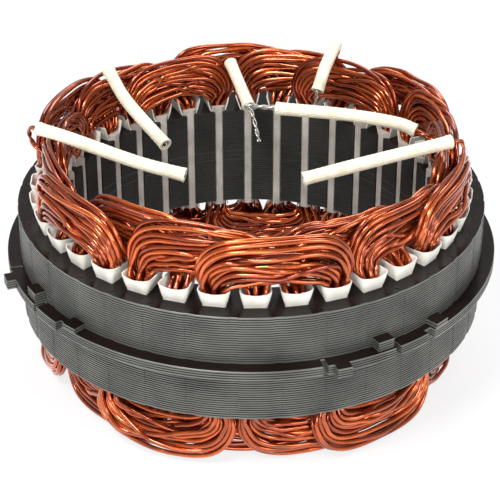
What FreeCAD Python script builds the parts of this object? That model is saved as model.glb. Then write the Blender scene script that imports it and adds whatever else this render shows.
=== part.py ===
import FreeCAD, Part
import math
import os

# Wound stator of a three-phase claw-pole alternator, in millimetres.
# Origin: bore axis, level with the upper face of the mounting flange. +Z points towards the lead end.
# Angles are in degrees about +Z, from -Y towards +X.

Vector = FreeCAD.Vector
AXIS = Vector(0, 0, 1)
CENTRE = Vector(0, 0, 0)

# Lamination stack
SHEET = 0.75
UPPER_SHEETS = 20
FLANGE_SHEETS = 4
LOWER_SHEETS = 21
BORE_RADIUS = 55.5
SLOT_DEPTH = 10.5
BACK_IRON = 5.0
FLANGE_LEDGE = 4.0

# Slots and teeth
SLOT_COUNT = 36
FIRST_SLOT_ANGLE = 1.1
TOOTH_WIDTH = 4.6
SLOT_OPENING = 2.8
TIP_LIP = 0.6
TIP_DEPTH = 1.5

# Shallow grooves down the outside of the core, one behind each tooth
GROOVE_WIDTH = 2.6
GROOVE_DEPTH = 0.35

# Locating features, repeated in quarter turns round the flange
FEATURE_SETS = 4
FIRST_SET_ANGLE = -57.5
TAB_ANGLE = -13.0
TAB_WIDTH = 4.4
TAB_PROUD = 2.6
RELIEF_ANGLE = -16.6
RELIEF_WIDTH = 1.5
RELIEF_DEPTH = 3.4
SPLIT_ANGLE = 0.9
SPLIT_WIDTH = 1.8
SPLIT_DEPTH = 3.6
NOTCH_ANGLE = 10.5
NOTCH_WIDTH = 2.8
NOTCH_DEPTH = 1.7
EAR_SHEETS = 4
EAR_ANGLE = -2.0
EAR_WIDTH = 5.2
EAR_PROUD = 3.2
PAD_SHEETS = 2
PAD_ANGLE = 14.0
PAD_WIDTH = 5.0

# Slot liners, folded from insulating paper, with a flared collar at each end
LINER_THICKNESS = 0.35
LINER_CLEARANCE = 0.08
COLLAR_HEIGHT = 5.0
COLLAR_FLARE = 1.3
COLLAR_START = 0.25

# Wedges that close the slots at the bore
WEDGE_RECESS = 0.3
WEDGE_NOSE = 2.0
WEDGE_THICKNESS = 0.9
WEDGE_CLEARANCE = 0.06
WEDGE_OVERHANG = 1.5

# Winding: three phases, each a wave that goes three slots on, over one end and under the other
SLOT_SPAN = 3
PHASE_FIRST_SLOT = (5, 3, 1)
END_RISE_TOP = 22.0
END_RISE_BOTTOM = 21.7
END_INSET = 0.3
END_OVERHANG = 0.2
LAYER_GAP = 0.75
BUNDLE_CLEARANCE = 0.12
BUNDLE_TUCK = 1.0
CREST_WIDTH = 10.6
# Half of an end turn after it leaves the collar: share of the span, share of the rise, share of
# the way out to the phase's ring, depth in layers, width as a share of the crest's
END_TURN = [
    (0.04, 0.44, 0.83, 1.15, 0.63),
    (0.19, 0.66, 1.0, 1.0, 0.86),
]
STRAND_RIDGES = 5
RIDGE_DEPTH = 0.18

# Leads: bare tinned wire inside woven sleeving
WIRE_DIAMETER = 1.35
SLEEVE_DIAMETER = 3.7
SLEEVE_BORE = 2.0
SLEEVE_SIDES = 8
WIRE_SIDES = 6

# Radii worked out from the bore
SLOT_BOTTOM_RADIUS = BORE_RADIUS + SLOT_DEPTH
CORE_RADIUS = SLOT_BOTTOM_RADIUS + BACK_IRON
FLANGE_RADIUS = CORE_RADIUS + FLANGE_LEDGE
EAR_RADIUS = CORE_RADIUS + EAR_PROUD
END_INNER_RADIUS = BORE_RADIUS + END_INSET
END_OUTER_RADIUS = SLOT_BOTTOM_RADIUS + END_OVERHANG

# Heights worked out from the sheets
TOP = UPPER_SHEETS * SHEET
FLANGE_BOTTOM = -FLANGE_SHEETS * SHEET
BOTTOM = FLANGE_BOTTOM - LOWER_SHEETS * SHEET
PITCH = 360.0 / SLOT_COUNT

# Four corners are one flat face when they span less than this, in cubic millimetres
FLATNESS = 1e-7


def polar(radius, angle, z=0.0):
    turn = math.radians(angle)
    return Vector(radius * math.sin(turn), -radius * math.cos(turn), z)


def turned(shape, angle):
    copy = shape.copy()
    copy.rotate(CENTRE, AXIS, angle)
    return copy


def in_slot(points, angle):
    """Points given as (distance from the axis, sideways), on the slot's own centre line."""
    centre_line = polar(1.0, angle)
    sideways = polar(1.0, angle + 90.0)
    return [centre_line * out + sideways * side for out, side in points]


def save(name, shape):
    shape.exportStep(f"parts/{name}.step")


# Lamination stack ---------------------------------------------------------------------------

def slot_half_width(radius):
    """Half the width of the slot at a distance from the axis, between parallel-sided teeth."""
    half_pitch = math.radians(PITCH / 2)
    return radius * math.tan(half_pitch) - TOOTH_WIDTH / 2 / math.cos(half_pitch)


def slot_side():
    """Half of the slot's outline, from the bore outwards."""
    lip = SLOT_OPENING / 2
    at_bore = math.sqrt(BORE_RADIUS ** 2 - lip ** 2)
    shoulder = BORE_RADIUS + TIP_DEPTH
    return [
        (at_bore, lip),
        (BORE_RADIUS + TIP_LIP, lip),
        (shoulder, slot_half_width(shoulder)),
        (SLOT_BOTTOM_RADIUS, slot_half_width(SLOT_BOTTOM_RADIUS)),
    ]


def toothed_bore():
    """The inner outline of a lamination: tooth tips on the bore circle, and the slots between."""
    side = slot_side()
    outline = side + [(out, -across) for out, across in reversed(side)]
    edges = []
    for slot in range(SLOT_COUNT):
        angle = FIRST_SLOT_ANGLE + slot * PITCH
        points = in_slot(outline, angle)
        edges += [Part.LineSegment(a, b).toShape() for a, b in zip(points, points[1:])]
        next_start = in_slot(outline, angle - PITCH)[0]
        tip_middle = polar(BORE_RADIUS, angle - PITCH / 2)
        edges.append(Part.Arc(points[-1], tip_middle, next_start).toShape())
    return Part.Wire(Part.__sortEdges__(edges))


def stepped_outline(radius, steps):
    """A circle with steps in or out, each given as (middle angle, width along the rim, radius)."""
    edges = []
    spans = []
    for middle, width, step_radius in steps:
        half = math.degrees(width / 2 / radius)
        spans.append((middle - half, middle + half, step_radius))
    for (begin, end, step_radius), (next_begin, _, _) in zip(spans, spans[1:] + spans[:1]):
        rim_end = next_begin if next_begin > end else next_begin + 360.0
        up = polar(radius, begin)
        step_begin = polar(step_radius, begin)
        step_end = polar(step_radius, end)
        down = polar(radius, end)
        edges.append(Part.LineSegment(up, step_begin).toShape())
        edges.append(Part.LineSegment(step_begin, step_end).toShape())
        edges.append(Part.LineSegment(step_end, down).toShape())
        rim_middle = polar(radius, (end + rim_end) / 2)
        edges.append(Part.Arc(down, rim_middle, polar(radius, rim_end)).toShape())
    return Part.Wire(Part.__sortEdges__(edges))


def grooved_outline():
    """The outer circle of the core with a shallow flat-bottomed groove behind each tooth."""
    floor = CORE_RADIUS - GROOVE_DEPTH
    angles = [FIRST_SLOT_ANGLE + (tooth + 0.5) * PITCH for tooth in range(SLOT_COUNT)]
    return stepped_outline(CORE_RADIUS, [(angle, GROOVE_WIDTH, floor) for angle in angles])


def stack(outer_wire, low, high):
    face = Part.Face([outer_wire, toothed_bore()])
    face.translate(Vector(0, 0, low))
    return face.extrude(Vector(0, 0, high - low))


def sector(inner, outer, middle_angle, width, low, high):
    """A block between two radii, with its sides on radial lines."""
    half = math.degrees(width / 2 / outer)
    corners = [
        polar(inner, middle_angle - half, low),
        polar(outer, middle_angle - half, low),
        polar(outer, middle_angle + half, low),
        polar(inner, middle_angle + half, low),
    ]
    edges = [
        Part.LineSegment(corners[0], corners[1]).toShape(),
        Part.Arc(corners[1], polar(outer, middle_angle, low), corners[2]).toShape(),
        Part.LineSegment(corners[2], corners[3]).toShape(),
        Part.LineSegment(corners[3], corners[0]).toShape(),
    ]
    return Part.Face(Part.Wire(edges)).extrude(Vector(0, 0, high - low))


def set_angles():
    return [FIRST_SET_ANGLE + quarter * 360.0 / FEATURE_SETS for quarter in range(FEATURE_SETS)]


def upper_pack():
    """The sheets above the flange; the lowest of them carry the ears and pads on the flange."""
    root = CORE_RADIUS - 2 * GROOVE_DEPTH
    pack = stack(grooved_outline(), 0.0, TOP)
    raised = []
    for angle in set_angles():
        ear_top = EAR_SHEETS * SHEET
        pad_top = PAD_SHEETS * SHEET
        raised.append(sector(root, EAR_RADIUS, angle + EAR_ANGLE, EAR_WIDTH, 0.0, ear_top))
        raised.append(sector(root, FLANGE_RADIUS, angle + PAD_ANGLE, PAD_WIDTH, 0.0, pad_top))
    return pack.fuse(raised).removeSplitter()


def flange_pack():
    """The few larger sheets that the two housings clamp."""
    steps = []
    for angle in set_angles():
        steps.append((angle + RELIEF_ANGLE, RELIEF_WIDTH, FLANGE_RADIUS - RELIEF_DEPTH))
        steps.append((angle + TAB_ANGLE, TAB_WIDTH, FLANGE_RADIUS + TAB_PROUD))
        steps.append((angle + SPLIT_ANGLE, SPLIT_WIDTH, FLANGE_RADIUS - SPLIT_DEPTH))
        steps.append((angle + NOTCH_ANGLE, NOTCH_WIDTH, FLANGE_RADIUS - NOTCH_DEPTH))
    return stack(stepped_outline(FLANGE_RADIUS, steps), FLANGE_BOTTOM, 0.0)


def lower_pack():
    return stack(grooved_outline(), BOTTOM, FLANGE_BOTTOM)


def flat_face(*corners):
    return Part.Face(Part.makePolygon(corners + corners[:1]))


def skinned(sections, ring=False):
    """A solid through like sections, skinned with flat faces; a ring closes on itself."""
    faces = []
    following_sections = sections[1:] + sections[:1] if ring else sections[1:]
    for here, there in zip(sections, following_sections):
        for corner, start in enumerate(here):
            following = (corner + 1) % len(here)
            side = here[following]
            above = there[corner]
            opposite = there[following]
            twist = (side - start).cross(above - start).dot(opposite - start)
            if abs(twist) < FLATNESS:
                faces.append(flat_face(start, side, opposite, above))
            else:
                faces.append(flat_face(start, side, opposite))
                faces.append(flat_face(start, opposite, above))
    if not ring:
        faces += [flat_face(*sections[0]), flat_face(*sections[-1])]
    return Part.Solid(Part.Shell(faces))


# Slot insulation ----------------------------------------------------------------------------

WEDGE_BACK = BORE_RADIUS + TIP_DEPTH + WEDGE_THICKNESS


def liner_section(grow, z):
    """A U open to the bore, whose three walls stand a distance outside their place in the slot."""
    mouth = BORE_RADIUS + TIP_DEPTH + LINER_CLEARANCE
    floor = SLOT_BOTTOM_RADIUS - LINER_CLEARANCE + grow
    inner_floor = floor - LINER_THICKNESS
    outside = grow - LINER_CLEARANCE
    inside = outside - LINER_THICKNESS
    half = [
        (inner_floor, slot_half_width(inner_floor) + inside),
        (mouth, slot_half_width(mouth) + inside),
        (mouth, slot_half_width(mouth) + outside),
        (floor, slot_half_width(floor) + outside),
    ]
    loop = half + [(out, -side) for out, side in reversed(half)]
    return [point + Vector(0, 0, z) for point in in_slot(loop, 0.0)]


def slot_liner():
    sections = [
        liner_section(COLLAR_FLARE, BOTTOM - COLLAR_HEIGHT),
        liner_section(0.0, BOTTOM - COLLAR_START),
        liner_section(0.0, TOP + COLLAR_START),
        liner_section(COLLAR_FLARE, TOP + COLLAR_HEIGHT),
    ]
    return skinned(sections)


def slot_wedge():
    """A strip whose nose shows in the slot's mouth and whose back holds the liner shut."""
    nose = BORE_RADIUS + WEDGE_RECESS
    shoulder = BORE_RADIUS + TIP_DEPTH
    half_back = slot_half_width(shoulder) - LINER_CLEARANCE - LINER_THICKNESS - WEDGE_CLEARANCE
    side = [(nose, WEDGE_NOSE / 2), (shoulder, half_back), (WEDGE_BACK, half_back)]
    loop = side + [(out, -across) for out, across in reversed(side)]
    low = BOTTOM - WEDGE_OVERHANG
    points = [point + Vector(0, 0, low) for point in in_slot(loop, 0.0)]
    face = Part.Face(Part.makePolygon(points + points[:1]))
    return face.extrude(Vector(0, 0, TOP - BOTTOM + 2 * WEDGE_OVERHANG))


# Windings -----------------------------------------------------------------------------------

PHASES = len(PHASE_FIRST_SLOT)
LAYER = (END_OUTER_RADIUS - END_INNER_RADIUS - (PHASES - 1) * LAYER_GAP) / PHASES
SLOT_COPPER_INNER = WEDGE_BACK + BUNDLE_CLEARANCE
SLOT_COPPER_OUTER = SLOT_BOTTOM_RADIUS - LINER_CLEARANCE - LINER_THICKNESS - BUNDLE_CLEARANCE
SLOT_COPPER_RADIUS = (SLOT_COPPER_INNER + SLOT_COPPER_OUTER) / 2
SLOT_COPPER_DEPTH = SLOT_COPPER_OUTER - SLOT_COPPER_INNER
SLOT_COPPER_WIDTH = 2 * (
    slot_half_width(SLOT_COPPER_INNER) - LINER_CLEARANCE - LINER_THICKNESS - BUNDLE_CLEARANCE)


def layer_radius(phase):
    """The middle of a phase's own ring in the end turns, the first phase outermost."""
    return END_OUTER_RADIUS - LAYER / 2 - phase * (LAYER + LAYER_GAP)


def bundle_section(centre, outward, along, depth, width):
    """An oval of side-by-side strands, as a loop whose corners go out and in."""
    outward = (outward - along * outward.dot(along)).normalize()
    across = along.cross(outward)
    points = []
    for corner in range(2 * STRAND_RIDGES):
        turn = math.pi * (corner + 0.5) / STRAND_RIDGES
        size = 0.5 if corner % 2 == 0 else 0.5 * (1 - RIDGE_DEPTH)
        box = max(abs(math.cos(turn)), abs(math.sin(turn))) ** 0.5
        offset = outward * (depth * math.cos(turn)) + across * (width * math.sin(turn))
        points.append(centre + offset * (size / box))
    return points


def end_turn_sections(phase, top, angle):
    """The bundle from a slot, over the end of the core and back down to the slot three further on."""
    face = TOP if top else -BOTTOM
    rise = END_RISE_TOP if top else END_RISE_BOTTOM
    ring = layer_radius(phase)
    span = SLOT_SPAN * PITCH
    out_to_ring = ring - SLOT_COPPER_RADIUS
    # share of the span, height over the core, radius, depth along the radius, width across
    start = (0.0, COLLAR_HEIGHT - BUNDLE_TUCK, SLOT_COPPER_RADIUS, SLOT_COPPER_DEPTH, SLOT_COPPER_WIDTH)
    climb = [start]
    for part, lift, shift, layers, share in END_TURN:
        radius = SLOT_COPPER_RADIUS + shift * out_to_ring
        climb.append((part, lift * rise, radius, layers * LAYER, share * CREST_WIDTH))
    climb.append((0.5, rise - CREST_WIDTH / 2, ring, LAYER, CREST_WIDTH))
    stations = climb + [(1 - part, *rest) for part, *rest in reversed(climb[:-1])]
    flip = 1 if top else -1
    centres = [polar(radius, angle + part * span, flip * (face + height))
               for part, height, radius, _, _ in stations]
    sections = []
    for index, (part, _, _, depth, width) in enumerate(stations):
        if index in (0, len(stations) - 1):
            along = AXIS * (flip if index == 0 else -flip)
        else:
            along = (centres[index + 1] - centres[index - 1]).normalize()
        outward = polar(1.0, angle + part * span)
        sections.append(bundle_section(centres[index], outward, along, depth, width))
    return sections


def phase_winding(phase):
    """All the slots of one phase, joined over the top and under the bottom into one wave."""
    sections = []
    for start in range(PHASE_FIRST_SLOT[phase], PHASE_FIRST_SLOT[phase] + SLOT_COUNT, 2 * SLOT_SPAN):
        here = FIRST_SLOT_ANGLE + start * PITCH
        sections += end_turn_sections(phase, True, here)
        sections += end_turn_sections(phase, False, here + SLOT_SPAN * PITCH)
    return skinned(sections, ring=True)


# Leads --------------------------------------------------------------------------------------

# Each lead: the foot of its wire on the winding, as the phase that it comes from, its angle, its
# distance outside the middle of that phase's ring and its distance below the crest; then points
# measured from the foot, of the bare wire up to the sleeve, of the sleeve from the winding
# inwards, and of the wire beyond the sleeve.
LEADS = {
    "1": {
        "foot": (2, -90.3, 1.9, 9.9),
        "tail": [(-3.1, 1.9, 3.4), (-3.5, -0.7, 9.1)],
        "sleeve": [
            (0.1, -5.5, 11.9), (9.3, -12.0, 12.2),
            (29.4, -22.8, 10.1), (44.0, -26.1, 7.4),
        ],
        "tip": [],
    },
    "2": {
        "foot": (2, -129.4, 0.38, 0.9),
        "tail": [],
        "sleeve": [(2.4, -3.7, 2.9), (9.6, -24.2, 1.9), (21.8, -41.0, -4.1)],
        "tip": [],
    },
    "3": {
        "foot": (3, -167.8, -0.81, 5.8),
        "tail": [(2.9, 1.0, 2.2)],
        "sleeve": [(5.1, -1.2, 2.3), (8.3, -10.4, -1.4), (11.2, -17.2, -5.7)],
        "tip": [(12.7, -19.6, -8.7), (14.5, -24.1, -15.2)],
    },
    "4": {
        "foot": (3, 92.7, -2.22, 5.4),
        "tail": [],
        "sleeve": [
            (-5.2, 1.9, 1.9), (-10.6, 3.8, 3.4),
            (-25.3, 5.5, 5.4), (-47.2, 12.1, 4.4),
        ],
        "tip": [(-56.9, 14.4, 4.4)],
    },
    "5": {
        "foot": (1, 77.2, -1.23, 2.8),
        "tail": [(0.3, 1.5, 3.0)],
        "sleeve": [(-3.5, 0.6, 4.8), (-24.6, -8.4, 3.8), (-47.0, -13.1, -0.2)],
        "tip": [],
    },
    "6": {
        "foot": (3, 151.9, 1.46, 1.3),
        "tail": [(0.9, 3.4, 2.3)],
        "sleeve": [(-0.1, 1.3, 4.8), (-3.8, -8.9, 1.3), (-6.4, -14.2, -4.7)],
        "tip": [(-7.1, -15.4, -10.7)],
    },
}


def ring_section(centre, along, radius, sides):
    side = along.cross(AXIS).normalize()
    up = side.cross(along)
    points = []
    for corner in range(sides):
        turn = 2 * math.pi * (corner + 0.5) / sides
        points.append(centre + side * (radius * math.cos(turn)) + up * (radius * math.sin(turn)))
    return points


def tube(line, radius, sides):
    """A rod of even size through the points, with each bend mitred."""
    sections = []
    for index, centre in enumerate(line):
        before = line[max(index - 1, 0)]
        after = line[min(index + 1, len(line) - 1)]
        along = (after - before).normalize()
        sections.append(ring_section(centre, along, radius, sides))
    return skinned(sections)


def lead_foot(lead):
    """Where the wire of a lead leaves the winding."""
    phase, angle, outside, drop = LEADS[lead]["foot"]
    radius = layer_radius(phase - 1) + outside
    return polar(radius, angle, TOP + END_RISE_TOP - drop)


def lead_points(lead, run):
    return [lead_foot(lead) + Vector(*point) for point in LEADS[lead][run]]


def lead_sleeve(lead):
    line = lead_points(lead, "sleeve")
    outside = tube(line, SLEEVE_DIAMETER / 2, SLEEVE_SIDES)
    bore = tube(line, SLEEVE_BORE / 2, SLEEVE_SIDES)
    return outside.cut(bore)


def lead_wire(lead):
    line = [lead_foot(lead)]
    for run in ("tail", "sleeve", "tip"):
        line += lead_points(lead, run)
    return tube(line, WIRE_DIAMETER / 2, WIRE_SIDES)


# Every piece is written to its own file ------------------------------------------------------

os.makedirs("parts", exist_ok=True)
save("core_upper_pack", upper_pack())
save("core_flange_pack", flange_pack())
save("core_lower_pack", lower_pack())
liner = slot_liner()
wedge = slot_wedge()
for slot in range(SLOT_COUNT):
    save(f"slot_liner_{slot + 1:02d}", turned(liner, FIRST_SLOT_ANGLE + slot * PITCH))
wedges = [turned(wedge, FIRST_SLOT_ANGLE + slot * PITCH) for slot in range(SLOT_COUNT)]
save("slot_wedges", Part.makeCompound(wedges))
for phase in range(PHASES):
    save(f"phase_{phase + 1}_winding", phase_winding(phase))
for lead in LEADS:
    save(f"lead_sleeve_{lead}", lead_sleeve(lead))
    save(f"lead_wire_{lead}", lead_wire(lead))
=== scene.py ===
import math

import bpy
import numpy as np
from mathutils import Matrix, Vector
from mathutils.geometry import tessellate_polygon


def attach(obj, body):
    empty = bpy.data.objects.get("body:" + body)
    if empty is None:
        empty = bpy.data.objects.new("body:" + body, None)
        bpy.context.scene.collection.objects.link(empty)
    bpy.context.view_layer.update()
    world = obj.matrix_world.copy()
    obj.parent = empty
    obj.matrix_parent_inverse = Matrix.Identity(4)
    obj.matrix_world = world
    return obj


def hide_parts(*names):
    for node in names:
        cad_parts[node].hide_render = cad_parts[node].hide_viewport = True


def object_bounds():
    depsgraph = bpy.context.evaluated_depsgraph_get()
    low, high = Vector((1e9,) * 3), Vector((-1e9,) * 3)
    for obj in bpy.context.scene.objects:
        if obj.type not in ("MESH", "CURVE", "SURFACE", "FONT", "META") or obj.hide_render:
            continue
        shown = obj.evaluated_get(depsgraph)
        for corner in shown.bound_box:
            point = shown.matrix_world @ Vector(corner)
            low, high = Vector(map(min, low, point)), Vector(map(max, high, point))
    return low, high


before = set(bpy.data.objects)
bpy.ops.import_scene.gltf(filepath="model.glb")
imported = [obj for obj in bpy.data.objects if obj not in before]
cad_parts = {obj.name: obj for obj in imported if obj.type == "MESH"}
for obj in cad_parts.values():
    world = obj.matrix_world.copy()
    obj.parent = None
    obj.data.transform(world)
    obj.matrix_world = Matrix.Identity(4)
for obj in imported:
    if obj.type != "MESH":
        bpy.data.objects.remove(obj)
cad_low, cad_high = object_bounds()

# Wound stator of a three-phase alternator. Lengths in this script are millimetres, turned into
# metres when a mesh is made. Angles are degrees about +Z, from -Y towards +X.

MM = 0.001
rng = np.random.default_rng(7)

# Lamination stack
SHEET = 0.75
UPPER_SHEETS = 20
FLANGE_SHEETS = 4
LOWER_SHEETS = 21
BORE_RADIUS = 55.5
CORE_RADIUS = 71.0
FLANGE_RADIUS = 75.0
SLOT_COUNT = 36
PITCH = 360.0 / SLOT_COUNT
FIRST_SLOT_ANGLE = 1.1
TOOTH_WIDTH = 4.6
SLOT_BOTTOM_RADIUS = 66.0
SLOT_OPENING = 2.8
TIP_LIP = 0.6
TIP_DEPTH = 1.5
GROOVE_WIDTH = 2.6
GROOVE_DEPTH = 0.16
STEP_SLOPE = 0.06  # degrees
DIMPLE_RADIUS = 0.75
DIMPLE_INSET = 2.0
DIMPLE_SIDES = 10
DIMPLE_RINGS = ((1.0, -0.02), (0.72, 0.13), (0.35, 0.17))
TOP = UPPER_SHEETS * SHEET
FLANGE_BOTTOM = -FLANGE_SHEETS * SHEET
BOTTOM = FLANGE_BOTTOM - LOWER_SHEETS * SHEET

# Locating features of the flange: (angle in its set, width, radius)
SET_ANGLES = [-57.5 + 90.0 * quarter for quarter in range(4)]
FLANGE_STEPS = [(-16.6, 1.5, 71.6), (-13.0, 4.4, 77.6), (0.9, 1.8, 71.4), (10.5, 2.8, 73.3)]
EAR = (-2.0, 5.2, 74.2, 4)
PAD = (14.0, 5.0, 75.0, 2)

# How a sheet's edge looks: a sunk line at each joint, and a small scatter between sheets
JOINT_DEPTH = 0.24
JOINT_HALF = 0.19
SHEET_SCATTER = 0.03
EDGE_BEVEL = 0.13
END_SINK = 0.02

# Slot liners
LINER_THICKNESS = 0.35
LINER_CLEARANCE = 0.08
COLLAR_HEIGHT = 4.7
COLLAR_HEIGHT_BELOW = 2.4
COLLAR_FLARE = 1.3

# Winding
WIRES = 17
WIRE_DIAMETER = 1.4
WIRE_STEP = 1.45
PHASE_FIRST_SLOT = (5, 3, 1)
SLOT_SPAN = 3
RISE_TOP = 22.0
RISE_BOTTOM = 21.7
RING_INNER = 55.8
RING_OUTER = 66.2
LAYER_GAP = 0.75
SLOT_COPPER_RADIUS = 61.7


# Mesh helpers -------------------------------------------------------------------------------

def polar(radius, angle):
    turn = np.radians(angle)
    return np.array([radius * np.sin(turn), -radius * np.cos(turn)])


def new_object(name, vertices, faces, materials, slots=None, sharp_angle=None):
    """A mesh object from points in millimetres, riding on the part."""
    mesh = bpy.data.meshes.new(name)
    mesh.from_pydata((np.asarray(vertices, float) * MM).tolist(), [], [tuple(f) for f in faces])
    for material in materials:
        mesh.materials.append(material)
    if slots is not None:
        mesh.polygons.foreach_set("material_index", np.asarray(slots, np.int32))
    mesh.polygons.foreach_set("use_smooth", [True] * len(mesh.polygons))
    if sharp_angle is not None:
        mesh.set_sharp_from_angle(angle=math.radians(sharp_angle))
    mesh.update()
    piece = bpy.data.objects.new(name, mesh)
    bpy.context.scene.collection.objects.link(piece)
    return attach(piece, "root")


def spline(points, count):
    """A smooth line through the points, at even steps along its length."""
    line = np.asarray(points, float)
    padded = np.vstack([2 * line[0] - line[1], line, 2 * line[-1] - line[-2]])
    steps = np.linspace(0, 1, 24, endpoint=False)[:, None]
    runs = []
    for a, b, c, d in zip(padded, padded[1:], padded[2:], padded[3:]):
        runs.append(0.5 * (2 * b + (c - a) * steps + (2 * a - 5 * b + 4 * c - d) * steps ** 2
                           + (3 * b - a - 3 * c + d) * steps ** 3))
    dense = np.vstack(runs + [line[-1:]])
    length = np.concatenate([[0], np.cumsum(np.linalg.norm(np.diff(dense, axis=0), axis=1))])
    even = np.linspace(0, length[-1], count)
    return np.stack([np.interp(even, length, dense[:, k]) for k in range(dense.shape[1])], axis=1)


def line_frames(lines, reference):
    """Unit tangents and the two directions across, for lines shaped (wire, station, 3)."""
    along = np.gradient(lines, axis=1)
    along /= np.linalg.norm(along, axis=2, keepdims=True)
    first = reference - along * np.sum(along * reference, axis=2, keepdims=True)
    first /= np.linalg.norm(first, axis=2, keepdims=True)
    return along, first, np.cross(along, first)


def tube_arrays(lines, radii, reference, sides):
    """Points and four-sided faces of round tubes along the lines."""
    wires, stations, _ = lines.shape
    _, first, second = line_frames(lines, reference)
    turn = 2 * np.pi * np.arange(sides) / sides
    ring = (first[:, :, None] * np.cos(turn)[:, None] + second[:, :, None] * np.sin(turn)[:, None])
    points = lines[:, :, None] + ring * radii[:, :, None, None]
    start = (np.arange(wires) * stations * sides)[:, None, None]
    row = (np.arange(stations - 1) * sides)[None, :, None]
    side = np.arange(sides)[None, None, :]
    following = (side + 1) % sides
    a = start + row + side
    b = start + row + following
    faces = np.stack([a, b, b + sides, a + sides], axis=-1).reshape(-1, 4)
    return points.reshape(-1, 3), faces


# Materials ----------------------------------------------------------------------------------

def linear(code):
    """A colour written as #rrggbb, in the renderer's linear values."""
    values = [int(code[k:k + 2], 16) / 255 for k in (1, 3, 5)]
    return [v / 12.92 if v <= 0.04045 else ((v + 0.055) / 1.055) ** 2.4 for v in values] + [1.0]


class Finish:
    """A material built up from nodes, with noise in its colour, gloss and surface."""

    def __init__(self, name, rough, metallic=0.0, coat=0.0, coat_rough=0.1, sheen=0.0):
        self.material = bpy.data.materials.new(name)
        self.material.use_nodes = True
        self.nodes = self.material.node_tree.nodes
        self.links = self.material.node_tree.links
        self.shader = self.nodes["Principled BSDF"]
        self.shader.inputs["Metallic"].default_value = metallic
        self.shader.inputs["Coat Weight"].default_value = coat
        self.shader.inputs["Coat Roughness"].default_value = coat_rough
        self.shader.inputs["Sheen Weight"].default_value = sheen
        self.place = self.nodes.new("ShaderNodeTexCoord").outputs["Object"]
        self.rough = rough

    def link(self, source, node, socket):
        self.links.new(source, node.inputs[socket])

    def noise(self, scale, detail=3.0, stretch=None):
        node = self.nodes.new("ShaderNodeTexNoise")
        node.inputs["Scale"].default_value = scale
        node.inputs["Detail"].default_value = detail
        place = self.place
        if stretch:
            mapping = self.nodes.new("ShaderNodeMapping")
            mapping.inputs["Scale"].default_value = stretch
            self.link(place, mapping, "Vector")
            place = mapping.outputs["Vector"]
        self.link(place, node, "Vector")
        return node.outputs["Fac"]

    def ramp(self, source, low, high, from_low=0.3, from_high=0.7):
        node = self.nodes.new("ShaderNodeMapRange")
        node.inputs["From Min"].default_value = from_low
        node.inputs["From Max"].default_value = from_high
        node.inputs["To Min"].default_value = low
        node.inputs["To Max"].default_value = high
        self.link(source, node, "Value")
        return node.outputs["Result"]

    def mix(self, factor, one, two):
        node = self.nodes.new("ShaderNodeMix")
        node.data_type = "RGBA"
        self.link(factor, node, "Factor")
        for socket, colour in ((6, one), (7, two)):
            if isinstance(colour, str):
                node.inputs[socket].default_value = linear(colour)
            else:
                self.links.new(colour, node.inputs[socket])
        return node.outputs[2]

    def attribute(self, name):
        node = self.nodes.new("ShaderNodeAttribute")
        node.attribute_name = name
        return node.outputs["Fac"]

    def between(self, noise, dark, light):
        """A colour that wanders between two, as the noise goes."""
        return self.mix(self.ramp(noise, 0, 1), dark, light)

    def finish(self, colour, rough_noise, bump_noise, bump_mm):
        self.link(colour, self.shader, "Base Color")
        self.link(self.ramp(rough_noise, *self.rough), self.shader, "Roughness")
        bump = self.nodes.new("ShaderNodeBump")
        bump.inputs["Distance"].default_value = bump_mm * MM
        bump.inputs["Strength"].default_value = 1.0
        self.link(bump_noise, bump, "Height")
        self.links.new(bump.outputs["Normal"], self.shader.inputs["Normal"])
        return self.material


def steel_finish(name, dark, light, rough, coat=0.0, metallic=0.3):
    finish = Finish(name, rough, metallic, coat, 0.12)
    streaks = finish.noise(260, 4, (1, 1, 9))
    blotches = finish.noise(70, 5)
    colour = finish.between(blotches, dark, light)
    return finish.finish(colour, streaks, finish.noise(2200, 3), 0.02)


steel_outside = steel_finish("core_outside", "#52534f", "#777872", (0.3, 0.46))
# Top and bottom faces: dark varnish, with a reddish-brown tint that is painted reflection of the
# copper windings.
steel_face_painted_reflection = steel_finish("core_varnished_face_painted_reflection", "#140d0c", "#211816", (0.1, 0.22), 0.0, 0.0)
steel_face_painted_reflection.node_tree.nodes["Principled BSDF"].inputs["Specular IOR Level"].default_value = 0.2
# The bore wall: the same steel as the outside, coloured darker as painted shade inside the bore.
steel_bore_painted_shade = steel_finish("core_bore_painted_shade", "#20211f", "#383935", (0.34, 0.5))
# Faces of the sunk joints between sheets: near black, painted shade in the joints that darkens the
# lamination lines.
steel_joint_painted_shade = steel_finish("core_sheet_joint_painted_shade", "#0c0c0b", "#1b1b19", (0.6, 0.8), metallic=0.0)


def enamel_finish():
    """Copper under clear enamel: each wire has its own tone, with darker stains."""
    finish = Finish("enamelled_copper_wire", (0.16, 0.24), 0.8, 0.7, 0.06)
    tone = finish.mix(finish.attribute("tint"), "#8f3210", "#d9692f")
    stain = finish.ramp(finish.noise(110, 4), 0.0, 0.65, 0.42, 0.75)
    colour = finish.mix(stain, tone, "#541507")
    return finish.finish(colour, finish.noise(300, 3), finish.noise(500, 2), 0.008)


enamel = enamel_finish()


def paper_finish():
    """Ivory insulating paper, browned in places by varnish."""
    finish = Finish("liner_paper_sheet", (0.5, 0.7), sheen=0.1)
    patches = finish.noise(240, 5)
    varnish = finish.ramp(finish.noise(95, 3), 0.0, 0.5, 0.6, 0.8)
    base = finish.between(patches, "#e6e2d6", "#f7f5ee")
    colour = finish.mix(varnish, base, "#b99a72")
    return finish.finish(colour, patches, finish.noise(1500, 4), 0.05)


paper = paper_finish()


def plain_finish(name, dark, light, rough, scale, bump_mm, metallic=0.0, coat=0.0, sheen=0.0):
    finish = Finish(name, rough, metallic, coat, 0.15, sheen)
    patches = finish.noise(scale, 4)
    colour = finish.between(patches, dark, light)
    return finish.finish(colour, patches, finish.noise(scale * 6, 3), bump_mm)


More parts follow.
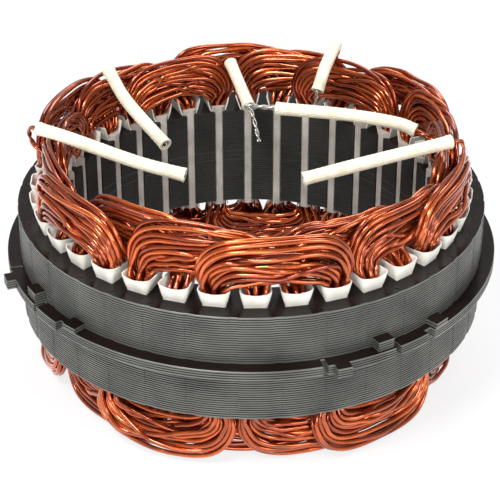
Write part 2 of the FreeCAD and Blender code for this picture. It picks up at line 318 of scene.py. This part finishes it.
wedge_strip = plain_finish("slot_wedge_strip", "#a39d94", "#cbc6bd", (0.35, 0.55), 160, 0.04)
sleeving = plain_finish("woven_glass_sleeving", "#e0d7bc", "#f5efdb", (0.55, 0.75), 420, 0.06,
                        sheen=0.25)
tinned = plain_finish("tinned_strands", "#8d8a84", "#d6d4cf", (0.22, 0.4), 500, 0.03, metallic=0.85)


# Lamination stack ---------------------------------------------------------------------------

def slot_half_width(radius):
    """Half a slot's width at a radius, between parallel-sided teeth."""
    half_pitch = math.radians(PITCH / 2)
    return radius * math.tan(half_pitch) - TOOTH_WIDTH / 2 / math.cos(half_pitch)


def toothed_bore():
    """The inner outline of a sheet, slot by slot."""
    lip = SLOT_OPENING / 2
    shoulder = BORE_RADIUS + TIP_DEPTH
    side = [(math.sqrt(BORE_RADIUS ** 2 - lip ** 2), lip), (BORE_RADIUS + TIP_LIP, lip),
            (shoulder, slot_half_width(shoulder)),
            (SLOT_BOTTOM_RADIUS, slot_half_width(SLOT_BOTTOM_RADIUS))]
    outline = [(out, -across) for out, across in side] + list(reversed(side))
    tip_half = PITCH / 2 - math.degrees(lip / BORE_RADIUS)
    points = []
    for slot in range(SLOT_COUNT):
        angle = FIRST_SLOT_ANGLE + slot * PITCH
        for out, across in outline:
            points.append(polar(out, angle) + polar(across, angle + 90))
        for share in (-0.67, -0.33, 0.0, 0.33, 0.67):
            points.append(polar(BORE_RADIUS, angle + PITCH / 2 + share * tip_half))
    return np.array(points)


def stepped_rim(radius, steps, spacing):
    """A circle with steps in or out, each given as (middle angle, width, radius)."""
    spans = []
    for middle, width, step in steps:
        half = math.degrees(width / 2 / radius)
        spans.append((middle - half, middle + half, step))
    spans.sort()
    points = []
    for (begin, end, step), (following, _, _) in zip(spans, spans[1:] + [spans[0]]):
        if following < end:
            following += 360.0
        points += [polar(radius, begin), polar(step, begin + STEP_SLOPE)]
        inner = max(int((end - begin) / spacing), 1)
        points += [polar(step, begin + (end - begin) * k / inner) for k in range(1, inner)]
        points += [polar(step, end - STEP_SLOPE), polar(radius, end)]
        count = max(int((following - end) / spacing), 1)
        points += [polar(radius, end + (following - end) * k / count) for k in range(1, count)]
    return np.array(points)


def sheet_rings(low, sheets, seed):
    """Heights up a stack of sheets, with how far the edge is sunk at each."""
    scatter = np.random.default_rng(seed).uniform(-1, 1, sheets) * SHEET_SCATTER
    rings = [(low, JOINT_DEPTH)]
    for sheet in range(sheets):
        base = low + sheet * SHEET
        rings += [(base + JOINT_HALF, scatter[sheet]), (base + SHEET - JOINT_HALF, scatter[sheet]),
                  (base + SHEET, JOINT_DEPTH)]
    rings[0] = (low, END_SINK)
    rings[-1] = (low + sheets * SHEET, END_SINK)
    return rings


class Stack:
    """Gathers the walls and faces of stacked sheets into one mesh."""

    OUTSIDE, FACE, BORE, JOINT = 0, 1, 2, 3

    def __init__(self):
        self.points, self.faces, self.slots = [], [], []

    def wall(self, outline, rings, inward, slot):
        """A wall of sheet edges along a closed outline.

        inward is 1 where the steel lies inside the outline and -1 where it lies outside.
        """
        count = len(outline)
        radius = np.linalg.norm(outline, axis=1, keepdims=True)
        first = len(self.points)
        for height, sunk in rings:
            moved = outline * (1 - inward * sunk / radius)
            self.points += [(x, y, height) for x, y in moved]
        for ring in range(len(rings) - 1):
            base = first + ring * count
            # Faces beside a sunk joint take the joint material, whose near-black colour is painted
            # shade.
            sunk = JOINT_DEPTH in (rings[ring][1], rings[ring + 1][1])
            for k in range(count):
                nxt = (k + 1) % count
                quad = (base + k, base + nxt, base + count + nxt, base + count + k)
                self.faces.append(quad if inward > 0 else quad[::-1])
                self.slots.append(self.JOINT if sunk else slot)
        return first, first + (len(rings) - 1) * count

    def cap(self, loops, starts, upward):
        """A flat face between the outer outline and, if there is one, the bore's."""
        lookup = [start + k for loop, start in zip(loops, starts) for k in range(len(loop))]
        for triangle in tessellate_polygon([[Vector((x, y, 0)) for x, y in loop] for loop in loops]):
            a, b, c = (lookup[k] for k in triangle)
            pa, pb, pc = (np.array(self.points[k][:2]) for k in (a, b, c))
            turn = (pb[0] - pa[0]) * (pc[1] - pa[1]) - (pb[1] - pa[1]) * (pc[0] - pa[0])
            face = (a, b, c) if (turn > 0) == upward else (a, c, b)
            self.faces.append(face)
            self.slots.append(self.FACE)

    def ring_pack(self, rim, low, sheets, seed):
        """A pack of ring sheets between a rim and the toothed bore."""
        rings = sheet_rings(low, sheets, seed)
        bore = toothed_bore()
        edge = [(rings[-1][0] - EDGE_BEVEL, 0.0), (rings[-1][0], EDGE_BEVEL)]
        outer = self.wall(rim, rings[:-2] + edge, 1, self.OUTSIDE)
        inner = self.wall(bore, rings, -1, self.BORE)
        for level, upward in ((0, False), (1, True)):
            self.cap([rim, bore], [outer[level], inner[level]], upward)

    def block(self, inner, outer, middle, width, sheets, seed):
        """Sheets that carry a raised block on the flange."""
        half = math.degrees(width / 2 / outer)
        spread = np.linspace(middle - half, middle + half, 6)
        loop = np.array([polar(outer, a) for a in spread] + [polar(inner, a) for a in spread[::-1]])
        ends = self.wall(loop, sheet_rings(0.0, sheets, seed), 1, self.OUTSIDE)
        self.cap([loop], [ends[1]], True)

    def dimple(self, radius, angle, height):
        """A small pressed dome that locks a sheet to the next."""
        centre = polar(radius, angle)
        first = len(self.points)
        sides = DIMPLE_SIDES
        for ring, lift in DIMPLE_RINGS:
            for k in range(sides):
                turn = 2 * math.pi * k / sides
                size = DIMPLE_RADIUS * ring
                self.points.append((centre[0] + size * math.cos(turn),
                                    centre[1] + size * math.sin(turn), height + lift))
        for ring in range(len(DIMPLE_RINGS) - 1):
            for k in range(sides):
                base = first + ring * sides
                nxt = (k + 1) % sides
                self.faces.append((base + k, base + nxt, base + sides + nxt, base + sides + k))
                self.slots.append(self.FACE)
        self.faces.append(tuple(first + 2 * sides + k for k in range(sides)))
        self.slots.append(self.FACE)

    def piece(self, name, node):
        materials = [steel_outside, steel_face_painted_reflection, steel_bore_painted_shade, steel_joint_painted_shade]
        made = new_object(name, self.points, self.faces, materials, self.slots, 28)
        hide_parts(node)
        return made


grooves = [(FIRST_SLOT_ANGLE + (tooth + 0.5) * PITCH, GROOVE_WIDTH, CORE_RADIUS - GROOVE_DEPTH)
           for tooth in range(SLOT_COUNT)]
core_rim = stepped_rim(CORE_RADIUS, grooves, 1.2)

upper = Stack()
upper.ring_pack(core_rim, 0.0, UPPER_SHEETS, 1)
for base in SET_ANGLES:
    for offset, width, radius, sheets in (EAR, PAD):
        upper.block(CORE_RADIUS - 1.0, radius, base + offset, width, sheets, 2)
for tooth in range(SLOT_COUNT):
    upper.dimple(CORE_RADIUS - DIMPLE_INSET, FIRST_SLOT_ANGLE + (tooth + 0.5) * PITCH, TOP)
upper.piece("core_upper_sheets", "core_upper_pack")

flange_steps = [(base + offset, width, radius)
                for base in SET_ANGLES for offset, width, radius in FLANGE_STEPS]
flange = Stack()
flange.ring_pack(stepped_rim(FLANGE_RADIUS, flange_steps, 1.0), FLANGE_BOTTOM, FLANGE_SHEETS, 3)
flange.piece("core_flange_sheets", "core_flange_pack")

lower = Stack()
lower.ring_pack(core_rim, BOTTOM, LOWER_SHEETS, 4)
lower.piece("core_lower_sheets", "core_lower_pack")


# Slot liners --------------------------------------------------------------------------------

MOUTH = BORE_RADIUS + TIP_DEPTH + LINER_CLEARANCE
COLLAR_LEVELS = (0.05, 0.12, 0.3, 0.52, 0.76, 1.0)


def liner_path(stand):
    """Half of the U from the mouth to the middle of its floor, standing outside the slot's wall."""
    corner = 1.0 + max(stand, 0.0)
    floor = SLOT_BOTTOM_RADIUS - LINER_CLEARANCE + stand
    side = slot_half_width(floor - stand) - LINER_CLEARANCE + stand
    wall_end = floor - corner
    points = []
    for out in np.linspace(MOUTH, wall_end, 7):
        across = slot_half_width(min(out, SLOT_BOTTOM_RADIUS)) - LINER_CLEARANCE + stand
        points.append((out, min(across, side)))
    for turn in np.radians((22.5, 45.0, 67.5, 90.0)):
        points.append((wall_end + corner * math.sin(turn), side - corner + corner * math.cos(turn)))
    for share in (0.75, 0.5, 0.25, 0.0):
        points.append((floor, (side - corner) * share))
    return np.array(points)


def liner_loop(stand):
    """The whole U, from one side of the mouth to the other."""
    half = liner_path(stand)
    mirrored = half[-2::-1] * (1, -1)
    return np.vstack([half, mirrored])


PATH_COUNT = len(liner_loop(0.0))
ALONG = np.abs(np.linspace(-1, 1, PATH_COUNT))
# The rim stands highest at the folded corners and dips along the floor and at the mouth
RIM_LIFT = 0.2 * np.exp(-((ALONG - 0.45) / 0.16) ** 2) - 0.3 * np.exp(-(ALONG / 0.22) ** 2)


def slot_liner(slot):
    """The folded paper of one slot, with a flared collar standing out of each end."""
    angle = FIRST_SLOT_ANGLE + slot * PITCH
    centre_line = polar(1.0, angle)
    sideways = polar(1.0, angle + 90)
    rows = []
    for face, direction, tall in ((BOTTOM, -1, COLLAR_HEIGHT_BELOW), (TOP, 1, COLLAR_HEIGHT)):
        flare = COLLAR_FLARE * tall / COLLAR_HEIGHT * rng.uniform(0.9, 1.15)
        wave = rng.normal(0, 0.10, PATH_COUNT)
        wave = np.convolve(wave, np.ones(5) / 5, mode="same")
        lean = rng.normal(0, 0.12)
        collar = []
        for level in COLLAR_LEVELS:
            stand = flare * max(level - 0.05, 0.0) ** 0.8
            lift = level * (tall + RIM_LIFT * level + wave * level)
            collar.append((stand, face + direction * lift, lean * level))
        rows += collar[::-1] if direction < 0 else collar
    layers = []
    for inset in (0.0, LINER_THICKNESS):
        for stand, heights, lean in rows:
            loop = liner_loop(stand - inset)
            spots = loop[:, :1] * centre_line + (loop[:, 1:] + lean) * sideways
            layers.append(np.column_stack([spots, heights]))
    points = np.vstack(layers)
    count, levels = PATH_COUNT, len(rows)
    inner = levels * count
    faces = []
    for row in range(levels - 1):
        for k in range(count - 1):
            a = row * count + k
            faces.append((a, a + count, a + count + 1, a + 1))
            b = inner + a
            faces.append((b, b + 1, b + count + 1, b + count))
    for k in range(count - 1):
        last = (levels - 1) * count + k
        faces.append((k, k + 1, inner + k + 1, inner + k))
        faces.append((last + 1, last, inner + last, inner + last + 1))
    for row in range(levels - 1):
        a = row * count
        faces.append((a, inner + a, inner + a + count, a + count))
        b = a + count - 1
        faces.append((b, b + count, inner + b + count, inner + b))
    name = f"slot_liner_sheet_{slot + 1:02d}"
    piece = new_object(name, points, faces, [paper], sharp_angle=50)
    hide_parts(f"slot_liner_{slot + 1:02d}")
    return piece


for slot in range(SLOT_COUNT):
    slot_liner(slot)


# Windings -----------------------------------------------------------------------------------

LAYER = (RING_OUTER - RING_INNER - 2 * LAYER_GAP) / 3
STATIONS = 46  # points along a wire's end turn
HELD = 5       # of these, how many stay put at each end
SIDES = 8      # of a wire's section
LEAN_BOTTOM = 2.2

# How wires that touch are parted, once a round: the share of an overlap that is pushed, the
# longest push, its gain, the pull back to where a wire began and how far bends are eased
SECTORS = 60
WIRE_REACH = 1.04
PUSH_SHARE = 0.35
LONGEST_PUSH = 0.35
PUSH_GAIN = 1.5
PULL_BACK = 0.03
BEND_EASE = 0.3
WALL_CLEARANCE = 0.9
PART_ROUNDS = 14


def slot_places():
    """Where each wire of a bundle lies in its slot: (out from the copper's middle, sideways)."""
    order = [(wire % 2, wire // 2) for wire in range(WIRES)]
    places = np.zeros((WIRES, 2))
    for column, members in enumerate(np.array_split(np.arange(WIRES), 3)):
        ranked = sorted(members, key=lambda wire: order[wire])
        for rank, wire in enumerate(ranked):
            places[wire] = ((rank - (len(ranked) - 1) / 2) * WIRE_STEP, (column - 1) * WIRE_STEP)
    return places


PLACES = slot_places()

# An end turn's half, for its outermost and innermost wire: share of the span, share of the height
OUTER_TURN = [(-0.13, 0.42), (-0.11, 0.72), (0.07, 0.95), (0.5, 1.0)]
INNER_TURN = [(0.07, 0.62), (0.14, 0.80), (0.27, 0.94), (0.5, 1.0)]
INNER_CREST = 0.34
COLLAR_EXIT = 3.0
EXIT_SPREAD = 0.95
SLOT_PACKING = 0.85
SWAPS = 5
LOOSENESS = 0.8


def turn_line(share, rise, reach):
    """The flat path of one wire, from 0 for the outermost of its bundle to 1 for the innermost."""
    height = rise * (1 + (INNER_CREST - 1) * share)
    half = []
    for (p0, h0), (p1, h1) in zip(OUTER_TURN, INNER_TURN):
        half.append((p0 + (p1 - p0) * share, height * (h0 + (h1 - h0) * share)))
    half = [(0.0, 0.0), (0.0, COLLAR_EXIT)] + half
    route = half + [(1 - part, high) for part, high in reversed(half[:-1])]
    return spline([(part * reach, high) for part, high in route], STATIONS)


def bundle(phase, start, top):
    """The wires of one end turn, from the core's face over to the slot three further on."""
    rise = (RISE_TOP if top else RISE_BOTTOM) - WIRE_DIAMETER / 2 - rng.uniform(0.0, 1.0)
    face = TOP if top else -BOTTOM
    ring = RING_OUTER - LAYER / 2 - phase * (LAYER + LAYER_GAP)
    angle = FIRST_SLOT_ANGLE + start * PITCH
    reach = math.radians(SLOT_SPAN * PITCH) * ring
    part = np.linspace(0, 1, STATIONS)
    end = np.minimum(part, 1 - part)
    seated = 1 - np.interp(end, (0.0, 0.05, 0.16), (0.0, 0.0, 1.0))
    lift = np.interp(end, (0.0, 0.05, 0.16, 0.5), (0.0, 0.0, 0.95, 1.0))
    right = np.arange(WIRES)
    for _ in range(SWAPS):
        a, b = rng.choice(WIRES, 2, replace=False)
        right[a], right[b] = right[b], right[a]
    lines = np.zeros((WIRES, STATIONS, 3))
    for wire in range(WIRES):
        other = int(right[wire])
        swap = 1 / (1 + np.exp(-(part - rng.uniform(0.3, 0.7)) * 12))
        one = turn_line(wire / (WIRES - 1), rise, reach)
        two = turn_line(other / (WIRES - 1), rise, reach)
        flat = one + (two - one) * swap[:, None]
        layer = (wire % 2) * (1 - swap) + (other % 2) * swap
        if wire != other:
            layer = layer + 1.0 * np.exp(-((part - 0.5) / 0.16) ** 2) * rng.choice((-1, 1))
        clear = np.clip(end * 8 - 0.8, 0, 1)
        loose = rng.normal(0, LOOSENESS, (2, 5))
        knots = (0.12, 0.3, 0.5, 0.7, 0.88)
        drift = [np.interp(part, knots, values) * clear for values in loose]
        left_half = part < 0.5
        seat_side = np.where(left_half, PLACES[wire][1], -PLACES[other][1])
        seat_out = np.where(left_half, PLACES[wire][0], PLACES[other][0])
        opened = 1 + EXIT_SPREAD * np.clip(flat[:, 1] / COLLAR_HEIGHT, 0, 1)
        flat[:, 0] += seat_side * seated * opened
        flat[:, 1] += drift[0] * 0.5
        lean = LEAN_BOTTOM * (0.5 - part) if not top else 0.0
        packed = SLOT_PACKING + (1 - SLOT_PACKING) * (opened - 1) / EXIT_SPREAD
        out = (SLOT_COPPER_RADIUS + seat_out * packed) * (1 - lift)
        out = out + (ring + (layer - 0.5) * WIRE_DIAMETER * 1.05 + drift[1] * 0.5 + lean) * lift
        turn = np.radians(angle + np.degrees(flat[:, 0] / ring))
        lines[wire] = np.column_stack([out * np.sin(turn), -out * np.cos(turn), face + flat[:, 1]])
    return lines


def part_wires(lines, rounds, highest):
    """Pushes wires apart where they cross, keeping each smooth and its ends in the slots."""
    wires, stations, _ = lines.shape
    owner = np.repeat(np.arange(wires), stations)
    rest = lines.copy()
    free = np.clip((np.minimum(np.arange(stations), np.arange(stations)[::-1]) - HELD) / 4.0, 0, 1)
    reach = WIRE_DIAMETER * WIRE_REACH
    for _ in range(rounds):
        flat = lines.reshape(-1, 3)
        turn = np.degrees(np.arctan2(flat[:, 0], -flat[:, 1])) % 360
        sector = (turn // (360 // SECTORS)).astype(int)
        order = np.argsort(sector, kind="stable")
        bounds = np.searchsorted(sector[order], np.arange(SECTORS + 1))
        move = np.zeros_like(flat)
        for s in range(SECTORS):
            here = order[bounds[s]:bounds[s + 1]]
            near = np.concatenate([here] + [order[bounds[k]:bounds[k + 1]]
                                            for k in ((s - 1) % SECTORS, (s + 1) % SECTORS)])
            gap = flat[here][:, None] - flat[near][None]
            distance = np.sqrt(np.einsum("ijk,ijk->ij", gap, gap)) + 1e-6
            push = np.clip(reach - distance, 0, None) * (owner[here][:, None] != owner[near][None])
            step = np.einsum("ij,ijk->ik", push / distance, gap) * PUSH_SHARE
            size = np.linalg.norm(step, axis=1, keepdims=True) + 1e-9
            move[here] = step * np.minimum(1, LONGEST_PUSH / size)
        move = move.reshape(wires, stations, 3)
        for _ in range(2):
            move[:, 1:-1] = (move[:, :-2] + 2 * move[:, 1:-1] + move[:, 2:]) / 4
        lines = lines + (move * PUSH_GAIN + (rest - lines) * PULL_BACK) * free[None, :, None]
        bend = lines.copy()
        bend[:, 1:-1] = (lines[:, :-2] + 2 * lines[:, 1:-1] + lines[:, 2:]) / 4
        lines = lines + (bend - lines) * BEND_EASE * free[None, :, None]
        radius = np.linalg.norm(lines[:, :, :2], axis=2)
        kept = np.clip(radius, BORE_RADIUS + WALL_CLEARANCE, RING_OUTER + WALL_CLEARANCE)
        lines[:, :, :2] *= (kept / radius)[:, :, None]
        lines[:, :, 2] = np.minimum(lines[:, :, 2], highest)
    return lines


def winding_end(top):
    """All three phases' end turns at one end, as one mesh for each phase."""
    groups, counts = [], []
    for phase in range(3):
        first = PHASE_FIRST_SLOT[phase] + (0 if top else SLOT_SPAN)
        starts = range(first, first + SLOT_COUNT, 2 * SLOT_SPAN)
        groups.append(np.concatenate([bundle(phase, start, top) for start in starts]))
        counts.append(len(groups[-1]))
    rise = RISE_TOP + TOP if top else RISE_BOTTOM - BOTTOM
    rounds = PART_ROUNDS
    lines = part_wires(np.concatenate(groups), rounds, rise - WIRE_DIAMETER / 2)
    middle = (TOP + BOTTOM) / 2 if top else -(TOP + BOTTOM) / 2
    into = lines[:, [0, -1]].copy()
    into[:, :, 2] = middle
    lines = np.concatenate([into[:, :1], lines, into[:, 1:]], axis=1)
    if not top:
        lines[:, :, 2] *= -1
    reference = lines * (1, 1, 0)
    reference /= np.linalg.norm(reference, axis=2, keepdims=True)
    begin = 0
    for phase, count in enumerate(counts):
        chosen = slice(begin, begin + count)
        radii = np.full(lines[chosen].shape[:2], WIRE_DIAMETER / 2)
        points, faces = tube_arrays(lines[chosen], radii, reference[chosen], SIDES)
        end = "top" if top else "bottom"
        piece = new_object(f"phase_{phase + 1}_wires_{end}", points, faces.tolist(), [enamel])
        tint = np.repeat(np.clip(rng.normal(0.5, 0.3, count), 0, 1), len(points) // count)
        layer = piece.data.attributes.new("tint", "FLOAT", "POINT")
        layer.data.foreach_set("value", tint.astype(np.float32))
        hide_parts(f"phase_{phase + 1}_winding")
        begin += count


winding_end(True)
winding_end(False)


# Leads --------------------------------------------------------------------------------------

CREST = TOP + RISE_TOP
# Each foot is (phase, angle, outside the middle of its ring, below the crest); the other points
# are measured from the foot.
LEADS = {
    "1": {
        "foot": (2, -90.3, 1.9, 9.9),
        "tail": [(-3.1, 1.9, 3.4), (-3.5, -0.7, 9.1)],
        "sleeve": [(0.1, -5.5, 11.9), (9.3, -12.0, 12.2), (29.4, -22.8, 10.1), (44.0, -26.1, 7.4)],
        "tip": [],
    },
    "2": {
        "foot": (2, -129.4, 0.38, 0.9),
        "tail": [],
        "sleeve": [(2.4, -3.7, 2.9), (9.6, -24.2, 1.9), (21.8, -41.0, -4.1)],
        "tip": [],
    },
    "3": {
        "foot": (3, -167.8, -0.81, 5.8),
        "tail": [(2.9, 1.0, 2.2)],
        "sleeve": [(5.1, -1.2, 2.3), (8.3, -10.4, -1.4), (11.2, -17.2, -5.7)],
        "tip": [(12.7, -19.6, -8.7), (14.5, -24.1, -15.2)],
    },
    "4": {
        "foot": (3, 92.7, -2.22, 5.4),
        "tail": [],
        "sleeve": [(-5.2, 1.9, 1.9), (-10.6, 3.8, 3.4), (-25.3, 5.5, 5.4), (-47.2, 12.1, 4.4)],
        "tip": [(-56.9, 14.4, 4.4)],
    },
    "5": {
        "foot": (1, 77.2, -1.23, 2.8),
        "tail": [(0.3, 1.5, 3.0)],
        "sleeve": [(-3.5, 0.6, 4.8), (-24.6, -8.4, 3.8), (-47.0, -13.1, -0.2)],
        "tip": [],
    },
    "6": {
        "foot": (3, 151.9, 1.46, 1.3),
        "tail": [(0.9, 3.4, 2.3)],
        "sleeve": [(-0.1, 1.3, 4.8), (-3.8, -8.9, 1.3), (-6.4, -14.2, -4.7)],
        "tip": [(-7.1, -15.4, -10.7)],
    },
}
SLEEVE_RADIUS = 1.85
SLEEVE_BORE_RADIUS = 1.2
SLEEVE_RIBS = 18
SLEEVE_SIDES = 72
SLEEVE_STATION = 0.45
SLEEVE_FLARE = 0.22
RIB_HEIGHT = 0.075
WEAVE_HEIGHT = 0.04
WEAVE_PITCH = 1.5
SQUEEZE = 0.035
LINING_ROWS = 5
STRAND_DIAMETER = 0.78
STRAND_SIDES = 10
STRAND_STATION = 0.5
TWIST_PITCH = 6.5
ENAMEL_IN_SLEEVE = 6.0


def route_length(route):
    return sum(np.linalg.norm(b - a) for a, b in zip(route, route[1:]))


def across(centre, reference):
    """Two unit directions across a line at each of its points."""
    along = np.gradient(centre, axis=0)
    along /= np.linalg.norm(along, axis=1, keepdims=True)
    side = np.cross(along, reference)
    side /= np.linalg.norm(side, axis=1, keepdims=True)
    return side, np.cross(side, along)


def lead_points(lead, run):
    """The points of one run of a lead; the foot is a run of one point."""
    phase, angle, outside, drop = LEADS[lead]["foot"]
    ring = RING_OUTER - LAYER / 2 - (phase - 1) * (LAYER + LAYER_GAP)
    foot = np.array([*polar(ring + outside, angle), CREST - drop])
    return [foot] if run == "foot" else [foot + np.array(point) for point in LEADS[lead][run]]


def lead_sleeve(lead):
    """Woven sleeving: lengthwise ribs that weave slowly round it, with cut ends that flare."""
    route = lead_points(lead, "sleeve")
    length = route_length(route)
    stations = int(length / SLEEVE_STATION)
    centre = spline(route, stations)
    side, up = across(centre, (0, 0, 1))
    distance = np.linspace(0, length, stations)
    turn = 2 * np.pi * np.arange(SLEEVE_SIDES) / SLEEVE_SIDES
    from_end = np.minimum(distance, length - distance)
    flare = SLEEVE_FLARE * np.exp(-from_end / 1.1)
    half_turns = np.round(turn * SLEEVE_RIBS / 2 / np.pi) * np.pi
    weave = np.sin(distance[:, None] * 2 * np.pi / WEAVE_PITCH + half_turns)
    ribs = RIB_HEIGHT * np.cos(turn[None] * SLEEVE_RIBS) + WEAVE_HEIGHT * weave
    squeeze = 1 + SQUEEZE * np.sin(distance / 5.2 + int(lead))[:, None] * np.cos(2 * turn)[None]
    outer = (SLEEVE_RADIUS + flare[:, None] + ribs) * squeeze
    rows = (centre[:, None] + side[:, None] * (outer * np.cos(turn))[..., None]
            + up[:, None] * (outer * np.sin(turn))[..., None])

    def lining(station):
        radius = SLEEVE_BORE_RADIUS + flare[station]
        return centre[station] + radius * (side[station] * np.cos(turn)[:, None]
                                           + up[station] * np.sin(turn)[:, None])

    # The bore is seen only near its ends, so the lining runs a few rows in from each
    start_rows = [lining(2 * row) for row in reversed(range(LINING_ROWS))]
    end_rows = [lining(stations - 1 - 2 * row) for row in range(LINING_ROWS)]
    grid = np.concatenate([np.array(start_rows), rows, np.array(end_rows)])
    points = grid.reshape(-1, 3)
    faces = []
    for row in range(len(grid) - 1):
        for k in range(SLEEVE_SIDES):
            a = row * SLEEVE_SIDES + k
            b = row * SLEEVE_SIDES + (k + 1) % SLEEVE_SIDES
            faces.append((a, a + SLEEVE_SIDES, b + SLEEVE_SIDES, b))
    piece = new_object(f"lead_sleeve_woven_{lead}", points, faces, [sleeving], sharp_angle=60)
    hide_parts(f"lead_sleeve_{lead}")
    return piece


def lead_wire(lead):
    """Two strands twisted together, enamelled up to the sleeve and tinned beyond it."""
    route = lead_points(lead, "foot") + lead_points(lead, "tail") + lead_points(lead, "sleeve")
    route += lead_points(lead, "tip")
    length = route_length(route)
    stations = int(length / STRAND_STATION)
    centre = spline(route, stations)
    side, up = across(centre, (0.1, 0.2, 1))
    twist = np.linspace(0, length, stations) * 2 * np.pi / TWIST_PITCH
    strands = []
    for strand in range(2):
        around = twist + strand * np.pi
        strands.append(centre + STRAND_DIAMETER / 2 * (side * np.cos(around)[:, None]
                                                      + up * np.sin(around)[:, None]))
    lines = np.array(strands)
    radii = np.full(lines.shape[:2], STRAND_DIAMETER / 2)
    points, faces = tube_arrays(lines, radii, np.broadcast_to(side, lines.shape), STRAND_SIDES)
    bare_length = route_length(route[:len(LEADS[lead]["tail"]) + 2])
    rows = faces[:, 0] // STRAND_SIDES % stations
    slots = (rows > stations * (bare_length + ENAMEL_IN_SLEEVE) / length).astype(int)
    piece = new_object(f"lead_wire_twisted_{lead}", points, faces.tolist(), [enamel, tinned], slots)
    tint = np.full(len(points), 0.5, np.float32)
    piece.data.attributes.new("tint", "FLOAT", "POINT").data.foreach_set("value", tint)
    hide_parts(f"lead_wire_{lead}")
    return piece


for lead in LEADS:
    lead_sleeve(lead)
    lead_wire(lead)


# The wedges keep their own solids
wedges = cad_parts["slot_wedges"].data
wedges.materials.clear()
wedges.materials.append(wedge_strip)


# Floor, light and camera ---------------------------------------------------------------------

FLOOR_HALF = 3.0
FLOOR_GLOW = 0.8
FLOOR_DROP = 0.0002
WORLD_LIGHT = 0.45

# Area lights: name, place in metres, size, watts
LIGHTS = (
    ("key", (-0.3, -0.45, 0.85), (0.3, 0.25), 7.5),
    ("fill", (0.55, -0.6, 0.5), (0.3, 0.4), 3.0),
    ("front", (-0.1, -0.95, 0.22), (0.5, 0.2), 3.0),
    ("rim", (0.1, 0.6, 0.75), (0.6, 0.3), 3.5),
)


def studio_floor():
    """A pale floor that looks white to the camera away from the object's soft shadow."""
    finish = Finish("studio_floor", (0.7, 0.8))
    patches = finish.noise(6, 2)
    colour = finish.between(patches, "#f4f4f4", "#ffffff")
    material = finish.finish(colour, patches, finish.noise(300, 2), 0.01)
    glow = finish.nodes.new("ShaderNodeEmission")
    glow.inputs["Color"].default_value = (1, 1, 1, 1)
    rays = finish.nodes.new("ShaderNodeLightPath")
    share = finish.nodes.new("ShaderNodeMapRange")
    share.inputs["To Max"].default_value = FLOOR_GLOW
    blend = finish.nodes.new("ShaderNodeMixShader")
    finish.link(rays.outputs["Is Camera Ray"], share, "Value")
    finish.link(share.outputs["Result"], blend, 0)
    finish.link(finish.shader.outputs["BSDF"], blend, 1)
    finish.link(glow.outputs["Emission"], blend, 2)
    finish.link(blend.outputs["Shader"], finish.nodes["Material Output"], "Surface")
    level = cad_low.z - FLOOR_DROP
    signs = ((-1, -1), (1, -1), (1, 1), (-1, 1))
    corners = [(x * FLOOR_HALF, y * FLOOR_HALF, level) for x, y in signs]
    mesh = bpy.data.meshes.new("studio_floor")
    mesh.from_pydata(corners, [], [(0, 1, 2, 3)])
    mesh.materials.append(material)
    floor = bpy.data.objects.new("studio_floor", mesh)
    bpy.context.scene.collection.objects.link(floor)


def area_light(name, place, size, power):
    data = bpy.data.lights.new(name, "AREA")
    data.shape = "RECTANGLE"
    data.size, data.size_y = size
    data.energy = power
    light = bpy.data.objects.new(name, data)
    light.location = place
    light.rotation_euler = (-Vector(place)).to_track_quat("-Z", "Y").to_euler()
    bpy.context.scene.collection.objects.link(light)


def white_world():
    """Plain white where the camera looks past the object, and softer where it lights it."""
    world = bpy.data.worlds.new("studio")
    world.use_nodes = True
    nodes, links = world.node_tree.nodes, world.node_tree.links
    back = nodes["Background"]
    back.inputs["Color"].default_value = (1, 1, 1, 1)
    rays = nodes.new("ShaderNodeLightPath")
    strength = nodes.new("ShaderNodeMapRange")
    strength.inputs["To Min"].default_value = WORLD_LIGHT
    strength.inputs["To Max"].default_value = 1.0
    links.new(rays.outputs["Is Camera Ray"], strength.inputs["Value"])
    links.new(strength.outputs["Result"], back.inputs["Strength"])
    bpy.context.scene.world = world


studio_floor()
white_world()
for light in LIGHTS:
    area_light(*light)

# Fitted to the photograph
camera_data = bpy.data.cameras.new("camera")
camera_data.lens = 122.5
camera_data.sensor_width = 36.0
camera_data.shift_x = -0.0022
camera_data.shift_y = -0.0328
camera_data.clip_start = 0.01
camera = bpy.data.objects.new("camera", camera_data)
camera.location = (0.0, -0.4562, 0.2666)
camera.rotation_euler = (-Vector(camera.location)).to_track_quat("-Z", "Y").to_euler()
bpy.context.scene.collection.objects.link(camera)
bpy.context.scene.camera = camera
bpy.context.scene.view_settings.view_transform = "Standard"
